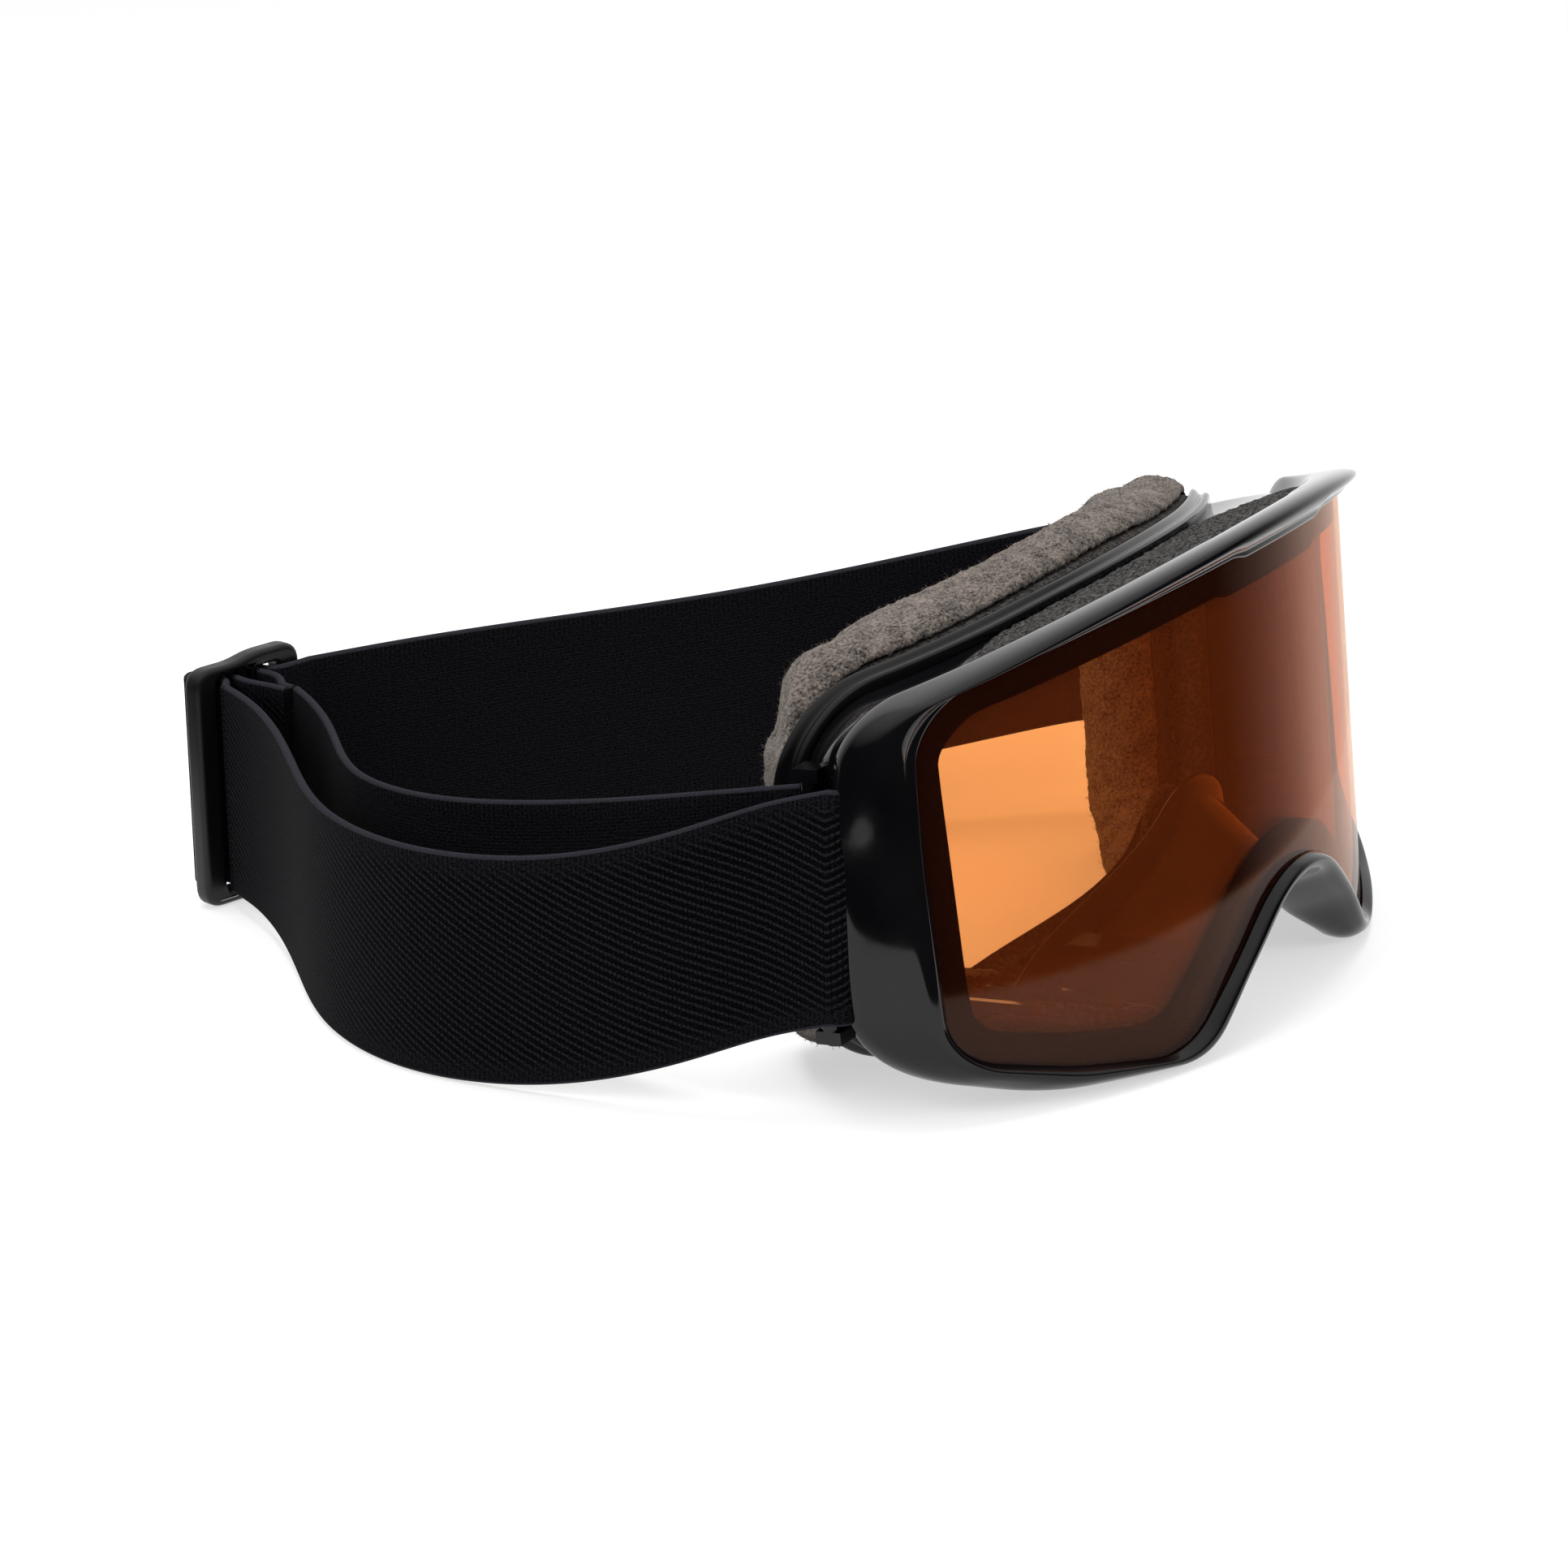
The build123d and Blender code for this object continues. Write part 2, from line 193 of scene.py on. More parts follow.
def ring_of_rows(name, rows, around=True):
    """A closed tube from rows of equal length. Each row runs round the outline if around is true,
    and the tube has two end faces if it isn't."""
    rows = np.array(rows)
    count, length = rows.shape[:2]
    faces = []
    for j in range(count):
        k = (j + 1) % count
        for i in range(length if around else length - 1):
            n = (i + 1) % length
            faces.append((j * length + i, j * length + n, k * length + n, k * length + i))
    if not around:
        faces.append(tuple(j * length for j in range(count)))
        faces.append(tuple(j * length + length - 1 for j in reversed(range(count))))
    return add_mesh(name, rows.reshape(-1, 3), faces)


def smooth(piece, levels=2):
    modifier = piece.modifiers.new("subdivision", "SUBSURF")
    modifier.levels = levels
    modifier.render_levels = levels
    return piece


def apply_modifiers(piece):
    depsgraph = bpy.context.evaluated_depsgraph_get()
    mesh = bpy.data.meshes.new_from_object(piece.evaluated_get(depsgraph))
    piece.modifiers.clear()
    piece.data = mesh
    return piece


def finish_piece(piece, material, body, slot, *nodes):
    """Material, body, slot and the CAD nodes that the piece stands for. The slot is not used."""
    piece.data.materials.clear()
    piece.data.materials.append(material)
    if body:
        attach(piece, body)
    if nodes:
        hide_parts(*nodes)
    return piece


# ---- materials ----------------------------------------------------------------------------
def new_material(name):
    material = bpy.data.materials.new(name)
    material.use_nodes = True
    tree = material.node_tree
    return material, tree, tree.nodes["Principled BSDF"]


def node(tree, kind, **inputs):
    made = tree.nodes.new(kind)
    for key, value in inputs.items():
        made.inputs[key.replace("_", " ")].default_value = value
    return made


def noise_node(tree, scale, detail=4.0, source=None):
    made = node(tree, "ShaderNodeTexNoise", Scale=scale, Detail=detail)
    if source is None:
        source = tree.nodes.new("ShaderNodeTexCoord").outputs["Object"]
    tree.links.new(source, made.inputs["Vector"])
    return made


def ramp(tree, source, low, high, first, second):
    """A colour ramp between two values of source."""
    made = tree.nodes.new("ShaderNodeValToRGB")
    made.color_ramp.elements[0].position = low
    made.color_ramp.elements[1].position = high
    made.color_ramp.elements[0].color = (*first, 1)
    made.color_ramp.elements[1].color = (*second, 1)
    tree.links.new(source, made.inputs["Fac"])
    return made


def maths(tree, operation, first, second=None, third=None):
    made = tree.nodes.new("ShaderNodeMath")
    made.operation = operation
    for socket, value in zip(made.inputs, (first, second, third)):
        if value is None:
            continue
        if isinstance(value, (int, float)):
            socket.default_value = value
        else:
            tree.links.new(value, socket)
    return made.outputs[0]


def bump(tree, shader, height, strength, distance):
    made = node(tree, "ShaderNodeBump", Strength=strength, Distance=distance)
    tree.links.new(height, made.inputs["Height"])
    tree.links.new(made.outputs["Normal"], shader.inputs["Normal"])


def plastic(name, colour, roughness, spread, waviness, ior):
    """Moulded plastic: slow waviness of the gloss and a trace of handling marks."""
    material, tree, shader = new_material(name)
    broad = noise_node(tree, 60, 3)
    tone = ramp(tree, broad.outputs["Fac"], 0.3, 0.7, colour, [c * 1.35 + 0.001 for c in colour])
    tree.links.new(tone.outputs["Color"], shader.inputs["Base Color"])
    fine = noise_node(tree, 420, 5)
    marks = maths(tree, "MULTIPLY_ADD", fine.outputs["Fac"], spread, roughness - spread / 2)
    tree.links.new(marks, shader.inputs["Roughness"])
    bump(tree, shader, broad.outputs["Fac"], 0.25, waviness)
    shader.inputs["IOR"].default_value = ior
    return material


def lens_glass(name, tint, reflection, veil, veil_share):
    """Thin tinted sheet: what is behind shows straight through, with a mirror gloss on top."""
    material, tree, shader = new_material(name)
    tree.nodes.remove(shader)
    clear = tree.nodes.new("ShaderNodeBsdfTransparent")
    cloud = noise_node(tree, 25, 2)
    deeper = [c**1.06 for c in tint]
    tone = ramp(tree, cloud.outputs["Fac"], 0.35, 0.65, tint, deeper)
    tree.links.new(tone.outputs["Color"], clear.inputs["Color"])
    gloss = node(tree, "ShaderNodeBsdfGlossy", Roughness=0.06)
    gloss.inputs["Color"].default_value = (*reflection, 1)
    facing = node(tree, "ShaderNodeLayerWeight", Blend=0.5)
    rise = maths(tree, "POWER", facing.outputs["Facing"], 5.0)
    mirror = maths(tree, "MULTIPLY_ADD", rise, 0.6, 0.011)
    mix = tree.nodes.new("ShaderNodeMixShader")
    tree.links.new(mirror, mix.inputs[0])
    tree.links.new(clear.outputs[0], mix.inputs[1])
    tree.links.new(gloss.outputs[0], mix.inputs[2])
    haze = tree.nodes.new("ShaderNodeBsdfDiffuse")
    haze.inputs["Color"].default_value = (*veil, 1)
    clouded = node(tree, "ShaderNodeMixShader", Fac=veil_share)
    tree.links.new(mix.outputs[0], clouded.inputs[1])
    tree.links.new(haze.outputs[0], clouded.inputs[2])
    tree.links.new(clouded.outputs[0], tree.nodes["Material Output"].inputs["Surface"])
    return material


def foam(name, dark, light, cell, depth):
    """Open-cell foam: speckled light and dark pores."""
    material, tree, shader = new_material(name)
    pores = node(tree, "ShaderNodeTexVoronoi", Scale=cell)
    coords = tree.nodes.new("ShaderNodeTexCoord")
    tree.links.new(coords.outputs["Object"], pores.inputs["Vector"])
    grain = noise_node(tree, cell * 1.7, 6)
    mixed = maths(tree, "MULTIPLY", pores.outputs["Distance"], grain.outputs["Fac"])
    tone = ramp(tree, mixed, 0.12, 0.42, dark, light)
    tree.links.new(tone.outputs["Color"], shader.inputs["Base Color"])
    shader.inputs["Roughness"].default_value = 0.95
    shader.inputs["Specular IOR Level"].default_value = 0.15
    bump(tree, shader, mixed, 0.9, depth)
    return material


def fleece(name):
    """Brushed fleece: a matted grey-brown nap with a soft rim of light."""
    material, tree, shader = new_material(name)
    tufts = noise_node(tree, 1900, 8)
    clumps = noise_node(tree, 260, 4)
    both = maths(tree, "MULTIPLY_ADD", clumps.outputs["Fac"], 0.45, tufts.outputs["Fac"])
    tone = ramp(tree, both, 0.52, 0.92, (0.005, 0.0042, 0.0037), (0.15, 0.125, 0.11))
    tree.links.new(tone.outputs["Color"], shader.inputs["Base Color"])
    shader.inputs["Roughness"].default_value = 1.0
    shader.inputs["Specular IOR Level"].default_value = 0.1
    shader.inputs["Sheen Weight"].default_value = 0.18
    shader.inputs["Sheen Roughness"].default_value = 0.5
    shader.inputs["Sheen Tint"].default_value = (0.75, 0.7, 0.64, 1)
    bump(tree, shader, both, 1.0, 0.0005)
    return material


# Widths of the weave in millimetres.
TWILL_PITCH = 1.45
TWILL_SLANT = -0.62
KNIT_PITCH = 0.75
ROW_PITCH = 0.6
CORD_PITCH = 0.9
EDGE_HIGHLIGHT_FROM = 19.4       # from the strap's middle line, where the painted highlight band along both edges begins


def webbing(name):
    """Elastic webbing: steep twill ribs on the outer face, fine rows inside, fuzzy edges with a painted
    highlight band along both of them.
    """
    material, tree, shader = new_material(name)
    place = tree.nodes.new("ShaderNodeUVMap")
    place.uv_map = "strap"
    side = tree.nodes.new("ShaderNodeUVMap")
    side.uv_map = "side"
    split = tree.nodes.new("ShaderNodeSeparateXYZ")
    tree.links.new(place.outputs[0], split.inputs[0])
    along, across = split.outputs["X"], split.outputs["Y"]
    which = tree.nodes.new("ShaderNodeSeparateXYZ")
    tree.links.new(side.outputs[0], which.inputs[0])
    outer, edge = which.outputs["X"], which.outputs["Y"]

    wobble = noise_node(tree, 0.55, 3, place.outputs[0])
    shift = maths(tree, "MULTIPLY", wobble.outputs["Fac"], 1.5)
    slanted = maths(tree, "MULTIPLY_ADD", along, TWILL_SLANT, across)
    phase = maths(tree, "MULTIPLY_ADD", slanted, 2 * math.pi / TWILL_PITCH, shift)
    wave = maths(tree, "MULTIPLY_ADD", maths(tree, "SINE", phase), 0.5, 0.5)
    rib = maths(tree, "POWER", wave, 3.0)
    knit = maths(tree, "SINE", maths(tree, "MULTIPLY", along, 2 * math.pi / KNIT_PITCH))
    ribs = maths(tree, "MULTIPLY", rib, maths(tree, "MULTIPLY_ADD", knit, 0.3, 0.7))
    rows = maths(tree, "SINE", maths(tree, "MULTIPLY_ADD", across, 2 * math.pi / ROW_PITCH, shift))
    rows = maths(tree, "MULTIPLY_ADD", rows, 0.12, 0.3)
    cords = maths(tree, "SINE", maths(tree, "MULTIPLY", along, 2 * math.pi / CORD_PITCH))
    cords = maths(tree, "MULTIPLY_ADD", cords, 0.1, 0.3)

    def blend_by(weight, first, second):
        gap = maths(tree, "SUBTRACT", second, first)
        return maths(tree, "MULTIPLY_ADD", gap, weight, first)

    face = blend_by(outer, rows, ribs)
    height = blend_by(edge, face, cords)
    fuzz = noise_node(tree, 2.6, 8, place.outputs[0])
    woven = maths(tree, "MULTIPLY", height, 0.48)
    fuzzy = maths(tree, "MULTIPLY_ADD", fuzz.outputs["Fac"], 0.85, woven)
    # A lighter band along both edges: a painted highlight, standing for light caught by the fuzzy edges.
    off_middle = maths(tree, "ABSOLUTE", maths(tree, "SUBTRACT", across, STRAP_WIDTH / 2))
    edge_highlight_band = maths(tree, "GREATER_THAN", off_middle, EDGE_HIGHLIGHT_FROM)
    fuzzy = maths(tree, "MULTIPLY_ADD", edge_highlight_band, 0.5, fuzzy)
    tone = ramp(tree, fuzzy, 0.45, 1.15, (0.0003, 0.0003, 0.0006), (0.016, 0.015, 0.019))
    tree.links.new(tone.outputs["Color"], shader.inputs["Base Color"])
    shader.inputs["Roughness"].default_value = 0.92
    shader.inputs["Specular IOR Level"].default_value = 0.05
    shader.inputs["Sheen Weight"].default_value = 0.008
    shader.inputs["Sheen Roughness"].default_value = 0.4
    bump(tree, shader, fuzzy, 0.9, 0.0004)
    return material


GLOSS = plastic("gloss_black_frame", (0.0016, 0.0016, 0.002), 0.06, 0.04, 0.0001, 1.37)
SATIN = plastic("satin_black_slider", (0.0022, 0.0022, 0.0025), 0.42, 0.16, 0.00015, 1.4)
ORANGE = lens_glass("orange_lens_sheet", (0.905, 0.58, 0.33), (1, 0.93, 0.9), (1.0, 0.36, 0.24), 0.004)
CLEAR = lens_glass("clear_lens_sheet", (0.98, 0.97, 0.96), (0.5, 0.45, 0.45), (1.0, 1.0, 1.0), 0.04)
SEAL = foam("seal_foam_grey", (0.0012, 0.001, 0.001), (0.006, 0.005, 0.005), 1500, 0.0001)
VENT = foam("vent_foam_grey", (0.0006, 0.0006, 0.0006), (0.06, 0.057, 0.055), 1400, 0.0004)
PADDING = foam("face_foam_grey", (0.008, 0.007, 0.0065), (0.045, 0.04, 0.036), 1400, 0.0004)
FLEECE = fleece("fleece_nap")
WEBBING = webbing("elastic_webbing")


# ---- rim ----------------------------------------------------------------------------------
# One section of the rim, from the lens over the front to the back: the share of the way from
# the lens edge to the rim's outline, millimetres out from the lens edge, and the depth. The four
# sections are blended round the outline.
SECTION_SIDE = [
    (0, 0, -0.05), (0.04, 0, -0.5), (0.17, 0, -1.3), (0.27, 0, -1.95), (0.33, 0, -2.2), (0.47, 0, -2.25),
    (0.53, 0, -2.05), (0.58, 0, -1.5), (0.78, 0, 0.5), (1, 0, 2.8), (1, 0, 3.8), (0.95, 0, 5.2),
    (0.85, 0, 6.4), (0, -3.6, 6.6), (0, -3.6, 5.3), (0, 1.05, 5.3), (0, 1.05, -0.05),
]
SECTION_BOTTOM = [
    (0, 0, -0.05), (0.05, 0, -0.5), (0.16, 0, -1.3), (0.26, 0, -1.9), (0.34, 0, -2.1), (0.5, 0, -2.0),
    (0.62, 0, -1.6), (0.7, 0, -1.2), (0.9, 0, 0.2), (1, 0, 1.8), (1, 0, 3.2), (0.97, 0, 4.8),
    (0.85, 0, 6.4), (0, -3.6, 6.6), (0, -3.6, 5.3), (0, 1.05, 5.3), (0, 1.05, -0.05),
]
SECTION_NOSE = [
    (0, 0, -0.05), (0.03, 0, -0.6), (0.08, 0, -1.4), (0.13, 0, -2.0), (0.22, 0, -2.2), (0.33, 0, -1.9),
    (0.42, 0, -1.2), (0.5, 0, 0.0), (0.72, 0, 3.4), (1, 0, 7.5), (1, 0, 9.3), (0.9, 0, 10.0),
    (0.7, 0, 8.4), (0, -3.6, 6.6), (0, -3.6, 5.3), (0, 1.05, 5.3), (0, 1.05, -0.05),
]
SECTION_VISOR = [
    (0, 0, -0.05), (0.02, 0, -0.7), (0.06, 0, -1.3), (0.14, 0, -1.65), (0.3, 0, -1.7), (0.38, 0, -2.4),
    (0.56, 0, -3.2), (0.74, 0, -3.7), (0.93, 0, -3.4), (1, 0, -2.1), (0.96, 0, 0.2), (0.66, 0, 4.2),
    (0.4, 0, 5.6), (0, -3.6, 6.6), (0, -3.6, 5.3), (0, 1.05, 5.3), (0, 1.05, -0.05),
]
TAB_HALF_WIDTH = 19.0      # of the lower middle part of the rim's top edge
TAB_DROP = 1.0


def make_rim():
    outer = loop(RIM)
    inside = {grow: loop(LENS, grow) for grow in (-3.6, 0, 1.05)}
    x, z = np.abs(outer[:, 0]), outer[:, 1]
    visor = smoothstep(44, 72, z)
    nose = smoothstep(32, 14, x) * (z < 40)
    low = smoothstep(26, 9, z) * (1 - nose)
    side = 1 - visor - nose - low
    tab = smoothstep(TAB_HALF_WIDTH + 2, TAB_HALF_WIDTH - 2, x) * visor * TAB_DROP
    rows = []
    sections = zip(SECTION_SIDE, SECTION_BOTTOM, SECTION_NOSE, SECTION_VISOR)
    for at_side, at_bottom, at_nose, at_visor in sections:
        share, depth = (
            side * at_side[k] + low * at_bottom[k] + nose * at_nose[k] + visor * at_visor[k]
            for k in (0, 2)
        )
        base = inside[at_side[1]]
        flat = base + (outer - base) * share[:, None]
        if at_side[1] == 0:
            flat[:, 1] -= tab * (1 - share) ** 2
        rows.append(leaned(behind_lens(flat, depth)))
    rim = smooth(ring_of_rows("front_rim_shell", rows), 2)
    return finish_piece(rim, GLOSS, "goggle", "gloss_black", "front_rim")


# ---- lenses -------------------------------------------------------------------------------
def crossings(flat, x):
    """The lowest and highest Z where an outline crosses X = x."""
    following = np.roll(flat, -1, axis=0)
    found = []
    for a, b in zip(flat, following):
        if (a[0] - x) * (b[0] - x) <= 0 and a[0] != b[0]:
            found.append(a[1] + (b[1] - a[1]) * (x - a[0]) / (b[0] - a[0]))
    return min(found), max(found)


def make_sheet(name, half, grow, front, thickness, columns=150, rows=28):
    """A lens: a sheet on the lens curve, cut to an outline."""
    flat = loop(half, grow)
    reach = flat[:, 0].max() - 0.01
    xs = -reach * np.cos(np.linspace(0, math.pi, columns))
    points = []
    for depth in (front, front + thickness):
        for x in xs:
            low, high = crossings(flat, x)
            zs = np.linspace(low, high, rows)
            column = np.stack([np.full(rows, x), zs], axis=1)
            points.append(leaned(behind_lens(column, depth)))
    points = np.array(points).reshape(-1, 3)
    back = columns * rows
    faces = []
    for i in range(columns - 1):
        for j in range(rows - 1):
            a, b = i * rows + j, (i + 1) * rows + j
            faces.append((a, b, b + 1, a + 1))
            faces.append((back + a, back + a + 1, back + b + 1, back + b))
        for j in (0, rows - 1):
            a, b = i * rows + j, (i + 1) * rows + j
            faces.append((a, back + a, back + b, b))
    for i in (0, columns - 1):
        for j in range(rows - 1):
            a = i * rows + j
            faces.append((a, a + 1, back + a + 1, back + a))
    sheet = add_mesh(name, points, faces)
    sheet.data.set_sharp_from_angle(angle=math.radians(40))
    return sheet


def make_spacer():
    """Foam gasket between the lenses. It shows through the outer lens as a dark border."""
    lens_edge = loop(LENS)
    x, z = np.abs(lens_edge[:, 0]), lens_edge[:, 1]
    top = smoothstep(60, 72, z)
    low = smoothstep(25, 10, z) + smoothstep(40, 20, x) * (z < 45)
    low = np.clip(low, 0, 1) * (1 - top)
    narrow, wide, widest = loop(LENS, -4.3), loop(LENS, -5.2), loop(LENS, -5.6)
    side = (1 - top - low)[:, None]
    inner = narrow * side + wide * low[:, None] + widest * top[:, None]
    inner[:, 1] -= smoothstep(TAB_HALF_WIDTH + 2, TAB_HALF_WIDTH - 2, x) * top * TAB_DROP
    outer = loop(LENS, 0.5)
    rows = []
    for flat, depth in ((outer, 0.95), (inner, 0.95), (inner, 3.7), (outer, 3.7)):
        rows.append(leaned(behind_lens(flat, depth)))
    spacer = ring_of_rows("lens_spacer_gasket", rows)
    spacer.data.set_sharp_from_angle(angle=math.radians(40))
    finish_piece(spacer, SEAL, "goggle", "seal_foam", "lens_spacer_foam")
    return spacer


def make_lenses():
    outer = make_sheet("outer_lens_sheet", LENS, 0.8, 0.0, 0.9)
    finish_piece(outer, ORANGE, "goggle", "orange_lens", "outer_lens")
    inner = make_sheet("inner_lens_sheet", LENS, -0.6, 3.8, 0.8, columns=110, rows=16)
    finish_piece(inner, CLEAR, "goggle", "clear_lens", "inner_lens")
    make_spacer()


# ---- frame skin, vents and face flange ----------------------------------------------------
VENT_HALF_WIDTH = 71.0
TOP_VENT_ABOVE = 60.0
BOTTOM_VENT_BELOW = 25.0
BOTTOM_VENT_FROM = 26.0
BOTTOM_VENT_TO = 60.0
WALL_FRONT = 5.4           # depth behind the lens front
WALL_BACK = 31.2           # foremost Y of the back edge, inside the flange
WALL_MIDDLE = 42.0         # height that the walls swell away from
RIBS_AT = (-56.0, -28.0, 0.0, 28.0, 56.0)
SKIN_ROWS = 9


def skin_rows(inwards, swell):
    """Rows of the frame's side wall, from behind the rim to the face flange."""
    front = behind_lens(loop(RIM, -3.2 - inwards), WALL_FRONT)
    back = nose_pulled(on_curve(loop(FLANGE, -1.0 - inwards), WALL_BACK, FLANGE_RADIUS))
    rows = []
    for k in range(SKIN_ROWS):
        t = k / (SKIN_ROWS - 1)
        row = front + (back - front) * t
        middle = np.array([0, row[:, 1].mean(), WALL_MIDDLE])
        away = row - middle
        away[:, 1] = 0
        away /= np.linalg.norm(away, axis=1)[:, None]
        rows.append(row + away * swell * math.sin(math.pi * t))
    return rows


def stretch_of_skin(name, chosen, inwards, swell, thickness):
    """A closed piece of the side wall over a run of outline points."""
    outer = [leaned(row[chosen]) for row in skin_rows(inwards, swell)]
    inner = [leaned(row[chosen]) for row in skin_rows(inwards + thickness, swell)]
    return ring_of_rows(name, outer + inner[::-1], around=False)


def in_one_run(chosen, count):
    """Outline indices in order, for a run that crosses the outline's start."""
    if chosen[0] != 0 or chosen[-1] != count - 1:
        return chosen
    split = next(k for k in range(1, len(chosen)) if chosen[k] != chosen[k - 1] + 1)
    return chosen[split:] + chosen[:split]


def make_frame_skin():
    """Vent foam pads, the struts under the top one, and the walls between the vents."""
    flat = loop(RIM)
    x, z = flat[:, 0], flat[:, 1]
    count = len(flat)
    top = [i for i in range(count) if z[i] > TOP_VENT_ABOVE and abs(x[i]) < VENT_HALF_WIDTH]
    top = in_one_run(top, count)
    low = [i for i in range(count) if z[i] < BOTTOM_VENT_BELOW]
    left = [i for i in low if -BOTTOM_VENT_TO < x[i] < -BOTTOM_VENT_FROM]
    right = [i for i in low if BOTTOM_VENT_FROM < x[i] < BOTTOM_VENT_TO]
    vents = (("vent_foam_top", top), ("vent_foam_bottom_left", left), ("vent_foam_bottom_right", right))
    for name, chosen in vents:
        piece = stretch_of_skin(name + "_pad", chosen, 0.0, 0.4, 2.2)
        smooth(piece, 2)
        apply_modifiers(piece)
        roughen(piece, 0.00035, 900)
        piece.data.set_sharp_from_angle(angle=math.radians(60))
        finish_piece(piece, VENT, "goggle", "vent_foam", name)
    for k, x_rib in enumerate(RIBS_AT):
        nearest = min(range(1, len(top) - 1), key=lambda i: abs(x[top[i]] - x_rib))
        rib = stretch_of_skin(f"vent_rib_top_{k + 1}", top[nearest - 1 : nearest + 2], 2.4, 0.4, 1.6)
        finish_piece(rib, GLOSS, "goggle", "gloss_black", *(["vent_ribs_top"] if k == 0 else []))
    walls = [
        wrap_range(top[-1], left[0], count), wrap_range(left[-1], right[0], count),
        wrap_range(right[-1], top[0], count),
    ]
    for k, chosen in enumerate(walls):
        piece = smooth(stretch_of_skin(f"frame_chassis_wall_{k + 1}", chosen, 0.2, 0.3, 1.6), 1)
        piece.data.set_sharp_from_angle(angle=math.radians(50))
        finish_piece(piece, GLOSS, "goggle", "gloss_black", *(["frame_chassis"] if k == 0 else []))


def wrap_range(first, last, count):
    """Outline indices from first to last, past the outline's start if need be."""
    if last < first:
        last += count
    return [i % count for i in range(first, last + 1)]


def roughen(piece, amount, scale):
    """Move each point along its normal by a little noise."""
    mesh = piece.data
    normals = [v.normal.copy() for v in mesh.vertices]
    for vertex, normal in zip(mesh.vertices, normals):
        vertex.co += normal * amount * noise.noise(vertex.co * scale)


def make_flange():
    """Face flange: a glossy ring with a double bead along its outer edge."""
    section = [
        (-6.0, 33.0), (-6.0, 31.0), (-3.0, 30.6), (-1.0, 30.2), (0.2, 29.7), (1.0, 30.0), (1.2, 30.8),
        (0.6, 31.5), (0.7, 32.0), (1.5, 32.5), (1.8, 33.3), (1.2, 34.0), (0.0, 34.1), (-3.0, 33.3),
    ]
    rows = []
    for grow, front in section:
        rows.append(leaned(nose_pulled(on_curve(loop(FLANGE, grow), front, FLANGE_RADIUS))))
    flange = smooth(ring_of_rows("face_flange_ring", rows), 2)
    finish_piece(flange, GLOSS, "goggle", "gloss_black", "face_flange")


# ---- face padding -------------------------------------------------------------------------
def narrowed(half, share):
    """A half outline made narrower, with its corners to suit."""
    return [(x * share, z, r * share**2) for x, z, r in half]


FIBRES = 16000
FIBRE_LENGTH = 0.0011      # metres
FIBRE_WIDTH = 0.00003      # metres
TEMPLE_AT = 75.0           # the padding reaches back to TEMPLE_Y here, and further towards the middle
TEMPLE_Y = 59.2
TEMPLE_SLOPE = 0.6
TEMPLE_TOP_CUT = 5.0       # less reach at the top corners
NOSE_SQUEEZE = 0.55


def padding_rows(section):
    """Rows of a padding ring. Each has the share of the way from the outline to the opening,
    the width share, millimetres out, the front of its curve and that curve's radius."""
    rows = []
    for inward, share, grow, front, radius in section:
        outside = loop(narrowed(FOAM, share), grow)
        inside = loop(narrowed(OPENING, share), grow)
        flat = outside * (1 - inward) + inside * inward
        points = nose_pulled(on_curve(flat, front, radius), NOSE_SQUEEZE)
        x, z = np.abs(points[:, 0]), points[:, 2]
        limit = TEMPLE_Y + (TEMPLE_AT - x) * TEMPLE_SLOPE + (front - 48.0) * 0.35
        limit -= smoothstep(56, 78, z) * TEMPLE_TOP_CUT
        beside = smoothstep(42, 60, x) * smoothstep(78, 66, x)
        points[:, 2] -= beside * smoothstep(56, 70, z) * max(front - 41, 0)
        over = np.clip(points[:, 1] - limit, 0, None)
        points[:, 1] -= over * smoothstep(45, 58, x)
        rows.append(leaned(points))
    return rows


def add_fibres(piece, count, longest):
    """Short curled fibres over a mesh, as thin strips in the same mesh."""
    mesh = piece.data
    mesh.calc_loop_triangles()
    corners = np.array([v.co for v in mesh.vertices])
    triangles = np.array([t.vertices[:] for t in mesh.loop_triangles])
    a, b, c = corners[triangles[:, 0]], corners[triangles[:, 1]], corners[triangles[:, 2]]
    cross = np.cross(b - a, c - a)
    area = np.linalg.norm(cross, axis=1)
    normals = cross / np.maximum(area, 1e-12)[:, None]
    random = np.random.default_rng(7)
    chosen = random.choice(len(triangles), count, p=area / area.sum())
    u, v = random.random((2, count, 1))
    over = u + v > 1
    u, v = np.where(over, 1 - u, u), np.where(over, 1 - v, v)
    root = a[chosen] + u * (b - a)[chosen] + v * (c - a)[chosen]
    lean = normals[chosen] + random.normal(0, 0.55, (count, 3))
    curl = normals[chosen] * 0.2 + random.normal(0, 0.8, (count, 3))
    reach = longest * (0.4 + 0.6 * random.random((count, 1)))
    wide = np.cross(lean, random.normal(0, 1, (count, 3)))
    wide *= FIBRE_WIDTH / np.linalg.norm(wide, axis=1)[:, None]
    middle = root + lean * reach * 0.45
    tip = middle + curl * reach * 0.45
    strips = np.stack([root - wide, root + wide, middle + wide, middle - wide, tip], axis=1)
    start = len(corners)
    points = np.concatenate([corners, strips.reshape(-1, 3)])
    faces = [tuple(face.vertices) for face in mesh.polygons]
    for k in range(count):
        base = start + 5 * k
        faces.append((base, base + 1, base + 2, base + 3))
        faces.append((base + 3, base + 2, base + 4))
    covered = bpy.data.meshes.new(mesh.name)
    covered.from_pydata([tuple(p) for p in points], [], faces)
    covered.shade_smooth()
    piece.data = covered


